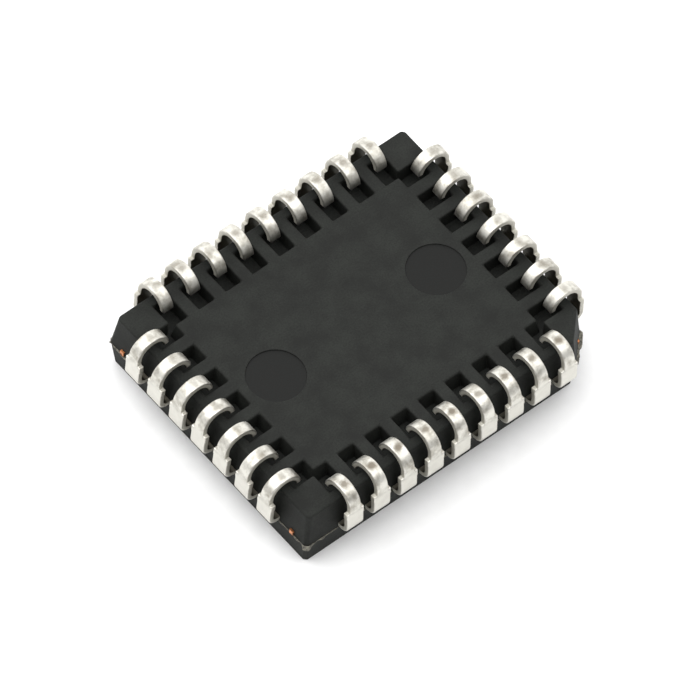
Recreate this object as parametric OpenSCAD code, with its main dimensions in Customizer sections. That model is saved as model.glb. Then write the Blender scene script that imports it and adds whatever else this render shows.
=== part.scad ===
// Flash memory in a 32-lead plastic leaded chip carrier, lying on its marking face.
// The origin is the centre of the marking face and +Z points to the board side, so the
// J-leads curl over the top. X runs along the two sides of nine leads, Y along the two
// sides of seven. The first lead is the middle one of the +X side, and the numbers run
// clockwise as seen from +Z. The large chamfer is the corner between +X and -Y.

/* [Moulded body] */
// Length of the body along X, at the parting line
body_len = 13.97; // [13.6:0.01:14.3]
// Width of the body along Y, at the parting line
body_wid = 11.43; // [11.1:0.01:11.8]
// Thickness of the body from the marking face to the board side
body_thick = 2.80; // [2.65:0.05:3.0]
// Height of the parting line, which is also the marking side of the lead frame
parting_z = 1.24; // [1.15:0.01:1.35]
// Draft of the outer walls on both sides of the parting line, in degrees
draft = 6.5; // [3:0.5:9]
// Leg of the chamfer that marks the first corner
key_chamfer = 1.14; // [1.07:0.01:1.22]
// Leg of the small chamfers on the other three corners
corner_chamfer = 0.12; // [0.05:0.01:0.4]
// How far the thin fin of resin stands out at the parting line
flash_reach = 0.08; // [0.02:0.01:0.1]
// Thickness of that fin
flash_thick = 0.04; // [0.02:0.01:0.08]
// Thickness of the broken gate left on the first corner
gate_thick = 0.20; // [0.1:0.01:0.3]
// Farthest reach of the broken gate from the chamfer
gate_reach = 0.17; // [0.1:0.01:0.25]

/* [Marks in the body] */
// Diameter of the two ejector-pin marks on the board side
ejector_d = 2.27; // [1.5:0.01:2.5]
// Depth of the ejector-pin marks
ejector_depth = 0.05; // [0.02:0.01:0.1]
// Distance of each ejector-pin mark from the centre, along X
ejector_x = 3.80; // [3.0:0.05:4.0]
// Diameter of the round dimple beside the first lead, on the marking face
dimple_d = 1.00; // [0.6:0.05:1.4]
// Depth of that dimple
dimple_depth = 0.10; // [0.05:0.01:0.15]
// Distance from the dimple's centre to the first lead's wall
dimple_inset = 1.45; // [1.0:0.05:2.0]

/* [Lead pockets] */
// Width of the pocket that each lead curls into
pocket_wid = 0.74; // [0.6:0.01:0.85]
// Depth of the pockets below the board side
pocket_depth = 0.75; // [0.5:0.01:0.85]
// Gap from a lead's tip to the end of its pocket, on the sides of nine leads
tip_gap_nine = 0.67; // [0.3:0.01:0.8]
// Gap from a lead's tip to the end of its pocket, on the sides of seven leads
tip_gap_seven = 0.62; // [0.3:0.01:0.8]
// Slope of the end wall of a pocket, in degrees
pocket_draft = 10; // [0:1:20]
// Radius in the corner between the end wall and the floor of a pocket
pocket_fillet = 0.12; // [0.05:0.01:0.3]

/* [J-leads] */
// Distance between neighbouring leads
pitch = 1.27; // [1.27:0.01:1.3]
// How far the outer faces of the leads stand out past the parting line, on every side
lead_reach = 0.51; // [0.49:0.005:0.57]
// Height of the leads' feet over the marking face, the seated height of the package
seat_height = 3.44; // [3.3:0.01:3.56]
// Thickness of the lead frame strip
strip_thick = 0.22; // [0.18:0.01:0.26]
// Width of a lead at its shoulder
shoulder_wid = 0.75; // [0.66:0.01:0.81]
// Width of a lead at its foot
foot_wid = 0.49; // [0.33:0.01:0.53]
// Height of the step from shoulder to foot width, over the parting line
step_rise = 1.23; // [1.1:0.01:1.3]
// How far the stub of the cut dam bar stands out on each side of the shoulder
stub_reach = 0.02; // [0.01:0.01:0.06]
// Height of that stub
stub_height = 0.28; // [0.15:0.01:0.4]
// Inner radius of the bend where a lead turns up from the body
bend_r = 0.21; // [0.15:0.01:0.28]
// Outer radius of the hook that curls over the board side
hook_r = 0.76; // [0.7:0.01:0.8]
// Inward lean of the upright part of a lead, in degrees
lean = 3; // [1:0.5:4]
// Angle at which the hook ends, counted from the outward direction, in degrees
hook_end = 178; // [165:1:185]

/* [Lead frame inside] */
// Length over which a lead keeps its shoulder width inside the body
root_len = 0.45; // [0.3:0.05:0.6]
// Width of the lead fingers inside the body
finger_wid = 0.34; // [0.3:0.01:0.38]
// Distance between finger tips along the sides of nine leads
tip_pitch_nine = 0.70; // [0.66:0.01:0.78]
// Distance between finger tips along the sides of seven leads
tip_pitch_seven = 0.64; // [0.6:0.01:0.75]
// Diameter of the hole through which the resin locks each finger
lock_d = 0.30; // [0.2:0.01:0.36]
// Length of the die paddle along X
paddle_len = 6.60; // [6.0:0.05:6.8]
// Width of the die paddle along Y
paddle_wid = 5.20; // [4.6:0.05:5.4]
// Gap from the paddle's edge to the finger tips
paddle_gap = 0.40; // [0.3:0.01:0.6]
// How far the paddle is pressed out of the plane of the leads, to the board side
downset = 0.25; // [0.15:0.01:0.3]
// Width of the four bars that hold the paddle during moulding
tie_wid = 0.20; // [0.16:0.01:0.3]
// Distance of a tie bar's cut end from the nearest wall of nine leads, at the parting line
tie_inset = 0.81; // [0.75:0.005:0.9]
// How far the cut end of a tie bar stands out of the body
tie_stub = 0.05; // [0.02:0.01:0.1]

/* [Die and wires] */
// Length of the memory die along X
die_len = 5.20; // [4.5:0.05:5.6]
// Width of the memory die along Y
die_wid = 3.90; // [3.4:0.05:4.2]
// Thickness of the memory die
die_thick = 0.35; // [0.25:0.01:0.4]
// Thickness of the epoxy film under the die
attach_thick = 0.03; // [0.02:0.01:0.04]
// How far the epoxy film spreads past the die on each side
attach_spread = 0.12; // [0.05:0.01:0.2]
// Diameter of the gold bond wire
wire_d = 0.04; // [0.03:0.005:0.05]
// Diameter of the ball at the die end of a wire
ball_d = 0.10; // [0.08:0.01:0.12]
// Thickness of that ball
ball_thick = 0.03; // [0.02:0.005:0.04]
// Distance of the bond pads from the edge of the die
pad_inset = 0.14; // [0.1:0.01:0.25]
// Distance of a wire's far end from the tip of its finger
stitch_inset = 0.22; // [0.15:0.01:0.3]
// Radius of a wire's loop as a share of the distance that it spans
loop_share = 0.72; // [0.6:0.01:0.9]

/* [Hidden] */
$fn = 48;
// Leads on each pair of sides, fixed by the outline
NINE = 9;
SEVEN = 7;
// A cut reaches this far past the face that it opens
over = 1;
// Angle by which a bend runs on into the straight part that it joins, in degrees
lap = 1;

half_len = body_len / 2;
half_wid = body_wid / 2;
span_len = body_len + 2 * lead_reach;
span_wid = body_wid + 2 * lead_reach;
reach = body_len + body_wid;
strip_top = parting_z + strip_thick;
step_z = parting_z + step_rise;
bend_out = bend_r + strip_thick;
bend_z = parting_z + bend_out;
hook_z = seat_height - hook_r;

// Where the upright's outer face leaves the bend, and where the hook's centre then lies,
// both as distances inwards from the lead's outermost face
upright_in = bend_out * (1 - cos(lean));
upright_z = bend_z + bend_out * sin(lean);
hook_start_z = hook_z + hook_r * sin(lean);
hook_in = upright_in + (hook_start_z - upright_z) * tan(lean) + hook_r * cos(lean);
tip_in = hook_in - hook_r * cos(hook_end);

paddle_z = strip_top + downset - strip_thick;
attach_z = paddle_z - attach_thick;
die_z = attach_z - die_thick;
tip_x = paddle_len / 2 + paddle_gap;
tip_y = paddle_wid / 2 + paddle_gap;
tie_y = half_wid - tie_inset;
// Diameter of a tie bar's elbow, as a share of the bar's width: the ends of both arms lie
// inside it
elbow_share = 1.1;

// The four sides in the order in which the leads are numbered. Each one holds the turn
// about Z that carries +X onto the side, the number of leads, half the span over the
// leads, half the body, the gap in the pockets, where the finger tips lie, their pitch,
// and where the bond pads lie with their pitch.
pad_x = die_len / 2 - pad_inset;
pad_y = die_wid / 2 - pad_inset;
pad_pitch_seven = 2 * pad_y / SEVEN;
pad_pitch_nine = 2 * pad_x / NINE;
right_side = [0, SEVEN, span_len / 2, half_len, tip_gap_seven, tip_x, tip_pitch_seven, pad_x,
              pad_pitch_seven];
front_side = [-90, NINE, span_wid / 2, half_wid, tip_gap_nine, tip_y, tip_pitch_nine, pad_y,
              pad_pitch_nine];
left_side = [180, SEVEN, span_len / 2, half_len, tip_gap_seven, tip_x, tip_pitch_seven, pad_x,
             pad_pitch_seven];
back_side = [90, NINE, span_wid / 2, half_wid, tip_gap_nine, tip_y, tip_pitch_nine, pad_y,
             pad_pitch_nine];
SIDES = [right_side, front_side, left_side, back_side];

// Leads that come before each side's first one, when all 32 are counted from the top of
// the +X side. The first lead is the middle of that side, so the count starts there.
before = [0, SEVEN, SEVEN + NINE, 2 * SEVEN + NINE];
total = 2 * (SEVEN + NINE);
half_seven = (SEVEN - 1) / 2;

// Number of the lead at a place, counted clockwise from the middle of the +X side
function lead_number(side, place) = (before[side] + place - half_seven + total) % total + 1;
function two_digits(number) = number < 10 ? str("0", number) : str(number);
function lead_name(number) = str("lead_", two_digits(number));
// Position of a place along its side, for a given pitch
function along(side, place, step) = ((SIDES[side][1] - 1) / 2 - place) * step;
// Leg of a chamfer after the outline has grown outwards by a distance
function grown_leg(leg, grow) = leg + grow * (2 - sqrt(2));

WIRE_NODES = ["bond_wires_right", "bond_wires_front", "bond_wires_left", "bond_wires_back"];

// Plan of the body grown by a distance past the parting line
module plan(grow) {
    x = half_len + grow;
    y = half_wid + grow;
    key = grown_leg(key_chamfer, grow);
    leg = grown_leg(corner_chamfer, grow);
    polygon([[x - key, -y], [x, key - y], [x, y - leg], [x - leg, y],
             [leg - x, y], [-x, y - leg], [-x, leg - y], [leg - x, -y]]);
}

// Slab whose two opposite walls lean in from the parting line, as a section run along Y
module drafted_slab(half) {
    low = half - parting_z * tan(draft);
    high = half - (body_thick - parting_z) * tan(draft);
    rotate([90, 0, 0])
        linear_extrude(2 * reach, center = true)
            polygon([[-low, 0], [low, 0], [half, parting_z], [high, body_thick],
                     [-high, body_thick], [-half, parting_z]]);
}

// Everything on the inner side of one drafted chamfer, whose middle faces +X
module chamfer_side(leg) {
    face = (half_len + half_wid - leg) / sqrt(2);
    low = face - parting_z * tan(draft);
    high = face - (body_thick - parting_z) * tan(draft);
    rotate([90, 0, 0])
        linear_extrude(2 * reach, center = true)
            polygon([[-reach, 0], [low, 0], [face, parting_z], [high, body_thick],
                     [-reach, body_thick]]);
}

module drafted_block() {
    intersection() {
        drafted_slab(half_len);
        rotate([0, 0, 90]) drafted_slab(half_wid);
        rotate([0, 0, -45]) chamfer_side(key_chamfer);
        for (turn = [45, 135, 225])
            rotate([0, 0, turn]) chamfer_side(corner_chamfer);
    }
}

// Broken gate along the key chamfer: its outline runs along the chamfer from the +X wall,
// in steps of the chamfer's width, and stands out by shares of the gate's reach
module broken_gate() {
    face = (half_len + half_wid - key_chamfer) / sqrt(2);
    middle = (half_len - half_wid) / sqrt(2);
    width = key_chamfer * sqrt(2);
    ragged = [[-0.50, 0], [-0.49, 0.75], [-0.40, 1], [-0.08, 0.95], [-0.02, 0.45], [0.08, 0.35],
              [0.14, 0.70], [0.36, 0.60], [0.50, 0]];
    edge = [for (point = ragged) [face + point[1] * gate_reach, -point[0] * width]];
    rotate([0, 0, -45])
        translate([0, middle, parting_z - gate_thick])
            linear_extrude(gate_thick)
                polygon(concat([[face - gate_reach, width / 2]], edge,
                               [[face - gate_reach, -width / 2]]));
}

// Section of a pocket, outwards and up, from its sloping end wall to past the body's wall
module pocket_section(end) {
    floor_z = body_thick - pocket_depth;
    slope = pocket_depth * tan(pocket_draft);
    outward = reach / 2;
    difference() {
        polygon([[end, body_thick], [end + slope, floor_z], [outward, floor_z],
                 [outward, body_thick + over], [end, body_thick + over]]);
        translate([end + slope, floor_z])
            difference() {
                translate([-pocket_fillet, -pocket_fillet])
                    square([2 * pocket_fillet, 2 * pocket_fillet]);
                translate([pocket_fillet, pocket_fillet]) circle(pocket_fillet);
                translate([pocket_fillet, -over]) square([over, 2 * over]);
                translate([-over, pocket_fillet]) square([2 * over, over]);
            }
    }
}

module pockets() {
    for (side = [0 : 3]) {
        data = SIDES[side];
        end = data[2] - tip_in - data[4];
        rotate([0, 0, data[0]])
            for (place = [0 : data[1] - 1])
                translate([0, along(side, place, pitch), 0])
                    rotate([90, 0, 0])
                        linear_extrude(pocket_wid, center = true) pocket_section(end);
    }
}

// Wedge of a circle between two angles, for cutting rings into bends
module wedge(from, to, radius) {
    steps = 5;
    turn = (to - from) / steps;
    far = radius / cos(turn / 2) + strip_thick;
    rim = [for (k = [0 : steps]) far * [cos(from + k * turn), sin(from + k * turn)]];
    polygon(concat([[0, 0]], rim));
}

module bent_strip(outer, from, to) {
    intersection() {
        difference() {
            circle(outer);
            circle(outer - strip_thick);
        }
        wedge(from, to, outer);
    }
}

// Side view of a lead outside the body, outwards and up: arm, bend, leaning upright, hook.
// Its outermost face is at distance span, and its arm reaches back into the root.
module lead_section(span) {
    upright = (hook_start_z - upright_z) / cos(lean);
    arm = strip_thick / 2;
    translate([span - bend_out - arm, parting_z]) square([arm, strip_thick]);
    translate([span - bend_out, bend_z]) bent_strip(bend_out, -90 - lap, lean + lap);
    translate([span - upright_in, upright_z])
        rotate(lean) translate([-strip_thick, 0]) square([strip_thick, upright]);
    translate([span - hook_in, hook_z]) bent_strip(hook_r, lean - lap, hook_end);
}

// Front view of a lead: wide shoulder, stubs of the dam bar, narrow foot
module lead_front() {
    shoulder = shoulder_wid / 2;
    stub = shoulder + stub_reach;
    foot = foot_wid / 2;
    fillet = stub_reach;
    low = step_z - stub_height;
    right = [[shoulder, 0], [shoulder, low - fillet], [stub, low], [stub, step_z - fillet],
             [stub - fillet, step_z], [foot + fillet, step_z], [foot, step_z + fillet],
             [foot, seat_height + over]];
    left = [for (k = [len(right) - 1 : -1 : 0]) [-right[k][0], right[k][1]]];
    polygon(concat(right, left));
}

// Plan of a lead inside the body: the root at shoulder width, then the finger, which runs
// aslant to its tip beside the paddle
module finger_plan(side, place) {
    data = SIDES[side];
    start = data[2] - bend_out;
    wide = data[3] - root_len;
    narrow = wide - (shoulder_wid - finger_wid) / 2;
    here = along(side, place, pitch);
    there = along(side, place, data[6]);
    shoulder = shoulder_wid / 2;
    finger = finger_wid / 2;
    difference() {
        polygon([[start, here - shoulder], [start, here + shoulder], [wide, here + shoulder],
                 [narrow, here + finger], [data[5], there + finger], [data[5], there - finger],
                 [narrow, here - finger], [wide, here - shoulder]]);
        translate([wide + lock_d / 3, here]) circle(d = lock_d);
    }
}

module finger(side, place) {
    translate([0, 0, parting_z]) linear_extrude(strip_thick) finger_plan(side, place);
}

module lead(side, place) {
    data = SIDES[side];
    color("gainsboro")
        rotate([0, 0, data[0]]) {
            finger(side, place);
            translate([0, along(side, place, pitch), 0])
                intersection() {
                    rotate([90, 0, 0])
                        linear_extrude(2 * pitch, center = true) lead_section(data[2]);
                    rotate([90, 0, 90]) linear_extrude(reach) lead_front();
                }
        }
}

// A bar of the lead frame from a place in the leads' plane down to the paddle's plane. It
// runs along +X from the origin, flat at both ends, with the set in the middle third.
module set_bar(length) {
    drop = downset;
    third = length / 3;
    rotate([90, 0, 0])
        linear_extrude(tie_wid, center = true)
            polygon([[0, drop], [third, drop], [2 * third, 0], [length, 0], [length, strip_thick],
                     [2 * third, strip_thick], [third, strip_thick + drop],
                     [0, strip_thick + drop]]);
}

// One tie bar, from the paddle's corner to the elbow and straight out through the wall
module tie_bar(wall_x) {
    corner = [paddle_len / 2 - tie_wid, paddle_wid / 2 - tie_wid];
    elbow = [half_len - root_len - tie_wid, tie_y];
    run = elbow - corner;
    translate([corner[0], corner[1], parting_z])
        rotate([0, 0, atan2(run[1], run[0])]) set_bar(norm(run));
    translate([elbow[0], tie_y, parting_z])
        cylinder(h = strip_thick, d = elbow_share * tie_wid);
    translate([elbow[0], tie_y - tie_wid / 2, parting_z])
        cube([wall_x + tie_stub - elbow[0], tie_wid, strip_thick]);
}

// Where the key chamfer meets the line of the tie bars
key_wall_x = half_len + half_wid - key_chamfer - tie_y - tie_wid / 2;

module die_paddle() {
    color("peru") {
        translate([-paddle_len / 2, -paddle_wid / 2, paddle_z])
            cube([paddle_len, paddle_wid, strip_thick]);
        tie_bar(half_len);
        mirror([1, 0, 0]) tie_bar(half_len);
        rotate([0, 0, 180]) tie_bar(half_len);
        mirror([0, 1, 0]) tie_bar(key_wall_x);
    }
}

module die_attach() {
    length = die_len + 2 * attach_spread;
    width = die_wid + 2 * attach_spread;
    color("silver")
        translate([-length / 2, -width / 2, attach_z]) cube([length, width, attach_thick]);
}

module memory_die() {
    color("slategray")
        translate([-die_len / 2, -die_wid / 2, die_z]) cube([die_len, die_wid, die_thick]);
}

// One wire, from the pad at the origin to its finger at a distance along +X and a height
// above the pad: an arc that bulges to -Z, cut off where it meets the die and the finger
module wire(distance, height) {
    chord = norm([distance, height]);
    loop_r = chord * loop_share;
    middle = [distance, height] / 2;
    away = sqrt(loop_r * loop_r - chord * chord / 4);
    centre = middle + away * [-height, distance] / chord;
    translate([0, 0, -ball_thick]) cylinder(h = ball_thick, d = ball_d);
    intersection() {
        translate([centre[0], 0, centre[1]])
            rotate([90, 0, 0])
                rotate_extrude() translate([loop_r, 0]) circle(d = wire_d, $fn = 24);
        rotate([90, 0, 0])
            linear_extrude(2 * wire_d, center = true)
                polygon([[-over, -over], [distance + over, -over], [distance + over, height],
                         [middle[0], height], [middle[0], 0], [-over, 0]]);
    }
}

// The wires of one side, each from its pad to the stitch on its finger
module bond_wires(side) {
    data = SIDES[side];
    color("gold")
        rotate([0, 0, data[0]])
            for (place = [0 : data[1] - 1]) {
                pad = [data[7], along(side, place, data[8])];
                tip = [data[5], along(side, place, data[6])];
                root = [data[3] - root_len, along(side, place, pitch)];
                stitch = tip + stitch_inset * (root - tip) / norm(root - tip);
                run = stitch - pad;
                translate([pad[0], pad[1], die_z])
                    rotate([0, 0, atan2(run[1], run[0])])
                        wire(norm(run), parting_z - die_z);
            }
}

module moulded_body() {
    color("dimgray")
        difference() {
            union() {
                drafted_block();
                translate([0, 0, parting_z - flash_thick])
                    linear_extrude(flash_thick) plan(flash_reach);
                broken_gate();
            }
            pockets();
            for (side = [-1, 1])
                translate([side * ejector_x, 0, body_thick - ejector_depth])
                    cylinder(h = ejector_depth + over, d = ejector_d, $fn = 96);
            dimple_r = (dimple_d * dimple_d / 4 + dimple_depth * dimple_depth) / (2 * dimple_depth);
            translate([half_len - dimple_inset, 0, dimple_depth - dimple_r]) sphere(dimple_r, $fn = 96);
            for (side = [0 : 3])
                rotate([0, 0, SIDES[side][0]])
                    for (place = [0 : SIDES[side][1] - 1])
                        finger(side, place);
            die_paddle();
            die_attach();
            memory_die();
            for (side = [0 : 3]) bond_wires(side);
        }
}

moulded_body();
for (side = [0 : 3])
    for (place = [0 : SIDES[side][1] - 1])
        lead(side, place);
die_paddle();
die_attach();
memory_die();
for (side = [0 : 3])
    bond_wires(side);
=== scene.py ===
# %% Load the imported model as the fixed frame
import math

import bmesh
import bpy
import numpy as np
from mathutils import Matrix, Vector


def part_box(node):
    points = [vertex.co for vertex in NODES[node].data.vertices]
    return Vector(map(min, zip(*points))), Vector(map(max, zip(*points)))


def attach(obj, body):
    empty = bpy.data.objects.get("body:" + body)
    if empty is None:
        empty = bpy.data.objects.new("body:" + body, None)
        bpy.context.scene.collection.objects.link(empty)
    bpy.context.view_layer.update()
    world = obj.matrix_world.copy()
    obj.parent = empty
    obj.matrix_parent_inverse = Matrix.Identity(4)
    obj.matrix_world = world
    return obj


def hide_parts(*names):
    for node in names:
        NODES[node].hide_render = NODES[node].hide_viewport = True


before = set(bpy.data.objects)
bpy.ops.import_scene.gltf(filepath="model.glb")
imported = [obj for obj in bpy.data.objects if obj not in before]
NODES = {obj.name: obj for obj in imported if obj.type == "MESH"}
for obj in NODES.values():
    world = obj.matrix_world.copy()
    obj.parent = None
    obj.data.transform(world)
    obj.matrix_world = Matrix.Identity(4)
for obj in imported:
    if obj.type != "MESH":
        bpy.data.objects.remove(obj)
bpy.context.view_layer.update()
print("nodes in the frame:", len(NODES))

# %% [markdown]
# # A flash memory chip in a plastic leaded chip carrier
#
# The chip lies on its marking face, with its 32 J-leads up. The frame holds every piece at
# its real size, so this script only makes surfaces: the moulded body with its soft mould
# edges, the leads with their rounded strip edges and the marks of the test socket, and the
# ragged flash that the mould leaves. Each one takes the place of a solid of the same form.
#
# Sizes that belong to a mould or a bending tool are written once, in millimetres, beside the
# step that needs them. The overall ones are read from the frame, so the surfaces follow the
# solids.

# %% Sizes in millimetres
MM = 0.001


def node_box(name):
    """Lowest and highest corner of a node, in millimetres."""
    low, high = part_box(name)
    return np.array(low) / MM, np.array(high) / MM


BODY_THICK = node_box("moulded_body")[1][2]
SEAT_HEIGHT = node_box("lead_01")[1][2]
SPAN = {"x": node_box("lead_01")[1][0], "y": node_box("lead_25")[1][1]}
STRIP_BOTTOM = node_box("lead_01")[0][2]
LEAD_REACH = 0.51
HALF = {"x": SPAN["x"] - LEAD_REACH, "y": SPAN["y"] - LEAD_REACH}
PARTING = STRIP_BOTTOM
DRAFT = math.tan(math.radians(6.5))
PITCH = 1.27
print("body", 2 * HALF["x"], "x", 2 * HALF["y"], "x", BODY_THICK, "parting line at", PARTING)
print("over the leads", 2 * SPAN["x"], "x", 2 * SPAN["y"], "feet at", SEAT_HEIGHT)

# %% [markdown]
# ## Helpers
#
# A hex colour is how a maker writes a colour down, as it looks on a screen. Blender mixes
# light in linear values, so one function turns the one into the other. Another adds a
# shader node with its settings and its links in a single line, which keeps each material
# short enough to read as a recipe. A Mix node has no names of its own for its colours, so
# the numbers of its sockets get names here.

# %% Colour, node and object helpers
FACTOR, FIRST, SECOND, MIXED = 0, 6, 7, 2


def linear(hex_colour):
    """sRGB hex to linear RGBA: each channel to the power 2.4 after the standard's offset."""
    channel = np.array([int(hex_colour[k:k + 2], 16) for k in (1, 3, 5)]) / 255
    low = channel / 12.92
    high = ((channel + 0.055) / 1.055) ** 2.4
    return (*np.where(channel <= 0.04045, low, high), 1.0)


def connect(tree, node, values):
    """Feeds the sockets of a node: each value is another node's output or a plain setting."""
    for socket, value in values.items():
        if isinstance(value, bpy.types.NodeSocket):
            tree.links.new(value, node.inputs[socket])
        else:
            node.inputs[socket].default_value = value


def add(tree, kind, values=None, **settings):
    """Adds a shader node: settings are its properties, values feed its sockets."""
    node = tree.nodes.new("ShaderNode" + kind)
    for name, value in settings.items():
        setattr(node, name, value)
    connect(tree, node, values or {})
    return node


def new_material(name):
    """An empty material with its tree, its Principled shader and its Object coordinates."""
    material = bpy.data.materials.new(name)
    material.use_nodes = True
    tree = material.node_tree
    where = add(tree, "TexCoord").outputs["Object"]
    return material, tree, tree.nodes["Principled BSDF"], where


def in_scene(name, data):
    """A new object that shows the data, linked into the scene."""
    thing = bpy.data.objects.new(name, data)
    bpy.context.scene.collection.objects.link(thing)
    return thing


def per_metre(size_mm):
    """Noise scale, in cells per metre, of a pattern whose grains are size_mm apart."""
    return 1 / (size_mm * MM)


print("mid grey", linear("#808080"))

# %% [markdown]
# ## The camera
#
# The photo was taken with a long lens from the corner between the two sides that face us,
# 57 degrees above the table. A chip of 15 mm seen from half a metre needs a focal length of
# about 700 mm on a 36 mm sensor. The camera rolls by less than five degrees, and stands a
# fraction of a millimetre to one side instead of shifting its lens.

# %% Camera
VIEW_AZIMUTH = math.radians(-43.411)
VIEW_ELEVATION = math.radians(56.769)
VIEW_ROLL = math.radians(-4.744)
VIEW_DISTANCE = 500
VIEW_TARGET = np.array([0, 0, 1.4])
IMAGE_WIDTH = 700
FOCAL_PIXELS = 13610.3
SENSOR_WIDTH = 36
AIM_RIGHT = -0.165
AIM_UP = -0.250

back = np.array([math.sin(VIEW_AZIMUTH) * math.cos(VIEW_ELEVATION),
                 -math.cos(VIEW_AZIMUTH) * math.cos(VIEW_ELEVATION),
                 math.sin(VIEW_ELEVATION)])
level_right = np.array([math.cos(VIEW_AZIMUTH), math.sin(VIEW_AZIMUTH), 0])
level_up = np.cross(back, level_right)
right = math.cos(VIEW_ROLL) * level_right - math.sin(VIEW_ROLL) * level_up
up = math.sin(VIEW_ROLL) * level_right + math.cos(VIEW_ROLL) * level_up
place = VIEW_TARGET + VIEW_DISTANCE * back + AIM_RIGHT * right + AIM_UP * up

camera_data = bpy.data.cameras.new("camera")
camera_data.sensor_width = SENSOR_WIDTH
camera_data.lens = FOCAL_PIXELS / IMAGE_WIDTH * SENSOR_WIDTH
camera_data.clip_start = 0.01
camera = in_scene("camera", camera_data)
camera.matrix_world = Matrix([[*pair, z * MM] for *pair, z in
                              zip(right, up, back, place)] + [[0, 0, 0, 1]])
bpy.context.scene.camera = camera
print("lens", round(camera_data.lens), "mm, camera at", np.round(place), "mm")

# %% [markdown]
# ## The moulded body
#
# The resin is pressed into a steel mould whose two halves meet at the parting line, so both
# halves of the body lean in by six and a half degrees to let it go. On the board side the
# mould has 32 small cores, and each leaves the pocket that a lead curls into. The pockets
# end inside the wall, so a rim runs all round the body under the hooks of the leads.
#
# A box with 32 Boolean cuts would do, but it leaves long thin faces that no bevel likes.
# Here the skin is a stack of outlines instead: three for the wall, two for the rim and two
# for the pockets. Every outline has the same points, so two neighbours always join up with
# quads, and a pocket opens where its points slide inwards.

# %% Outline of the body at one height
SIDE_ORDER = [("x", "y", 0), ("y", "x", 90), ("x", "y", 180), ("y", "x", 270)]
LEADS_ON = {"x": 7, "y": 9}
CORNER_LEG = [0.12, 0.12, 0.12, 1.14]
CORNER_RADIUS = [0.19, 0.19, 0.19, 0.08]
LOW_RADIUS = 0.08
CORNER_POINTS = 5
POCKET_WIDTH = 0.74
POCKET_FLOOR = BODY_THICK - 0.75
POCKET_END = {"x": 5.302, "y": 3.982}
POCKET_OUT = {"x": 6.392, "y": 5.122}
POCKET_SLOPE = math.tan(math.radians(10))


def turned(points, degrees):
    """Side frame to row frame: u outwards, v along the side and z up, turned about Z."""
    u, v, z = np.moveaxis(np.asarray(points, float), -1, 0)
    c, s = math.cos(math.radians(degrees)), math.sin(math.radians(degrees))
    return np.stack([u * c - v * s, u * s + v * c, z + 0 * u], -1)


def lead_places(axis):
    """Middles of the leads of a side, in order along it: whole pitches about its centre."""
    return (np.arange(LEADS_ON[axis]) - (LEADS_ON[axis] - 1) / 2) * PITCH


def pocket_ends(axis, z):
    """Distances of a pocket's inner and outer end walls from the middle of the body. On their
    way down both slope towards the middle of the pocket."""
    slope = (BODY_THICK - z) * POCKET_SLOPE
    return POCKET_END[axis] + slope, POCKET_OUT[axis] - slope


def rounded_end(u, v, corner, lean_in, high):
    """Points where a wall ends at a chamfer, at +v: an eighth of a turn about a centre that
    lies one radius inside both, so that it touches the wall and the chamfer. As the walls lean
    in, the chamfer's leg shrinks by two minus the square root of two times the lean."""
    leg = max(CORNER_LEG[corner] - lean_in * (2 - math.sqrt(2)), CORNER_LEG[0])
    radius = CORNER_RADIUS[corner] if high else LOW_RADIUS
    turn = np.linspace(0, math.pi / 4, CORNER_POINTS)
    reach = radius * math.tan(math.pi / 8)
    return np.column_stack([u - radius * (1 - np.cos(turn)),
                            v - leg - reach + radius * np.sin(turn)])


def outline(z, kind):
    """Closed outline at height z, counter-clockwise from above: for each side a rounded end,
    five points for each pocket, and a rounded end. The wall leans in by the draft times the
    distance from the parting line. The rim runs along the outer ends of the pockets, and the
    slots follow the pockets in to their inner ends, where the two beside a corner share a
    point."""
    lean_in = DRAFT * abs(z - PARTING)
    parts = []
    for k, (axis, other, degrees) in enumerate(SIDE_ORDER):
        u, v = HALF[axis] - lean_in, HALF[other] - lean_in
        near, far = pocket_ends(axis, z)
        far = u if kind == "wall" else far
        end = near if kind == "slots" else far
        step = POCKET_WIDTH / 2
        pocket = np.array([[far, -step], [end, -step], [end, 0], [end, step], [far, step]])
        places = lead_places(axis)
        pockets = pocket[None] + np.stack([0 * places, places], -1)[:, None]
        if kind == "slots":
            beside = pocket_ends(other, z)[0]
            pockets[0, 1, 1], pockets[-1, 3, 1] = -beside, beside
        first, last = (rounded_end(u, v, corner, lean_in, z > PARTING) for corner in (k - 1, k))
        flat = np.vstack([first[::-1] * [1, -1], pockets.reshape(-1, 2), last])
        parts.append(turned(np.column_stack([flat, np.full(len(flat), z)]), degrees))
    return np.vstack(parts)


def block_tips(z):
    """Inner tips of the four corner blocks, where the two pockets beside a corner meet."""
    step = POCKET_WIDTH / 2
    tips = [turned([lead_places(other)[-1] + step, lead_places(axis)[-1] + step, z], degrees)
            for axis, other, degrees in SIDE_ORDER]
    return np.array(tips)


levels = [outline(0, "wall"), outline(PARTING, "wall"), outline(BODY_THICK, "wall"),
          outline(BODY_THICK, "rim"), outline(BODY_THICK, "slots"),
          outline(POCKET_FLOOR, "slots"), outline(POCKET_FLOOR, "rim")]
RING = len(levels[0])
print("points in each outline:", RING)

# %% [markdown]
# The outer walls and the rim are quads between neighbouring outlines. Inside the rim only
# the five points of each pocket are joined, down its walls and across its floor. Beside a
# corner two pockets run into each other, so the corner stands apart as a block with its own
# inner walls, and their two floors are one polygon.

# %% Walls and floors
SIDE_STARTS = np.cumsum([0] + [2 * CORNER_POINTS + 5 * LEADS_ON[axis]
                               for axis, _, _ in SIDE_ORDER])


def strips(count, rings, start=0):
    """Quads between neighbouring closed rings of count points, counted from start."""
    i = np.arange(count)
    lower = start + i[None] + count * np.arange(rings - 1)[:, None]
    nxt = start + np.roll(i, -1)[None] + count * np.arange(rings - 1)[:, None]
    return np.stack([lower, nxt, nxt + count, lower + count], -1).reshape(-1, 4).tolist()


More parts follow.
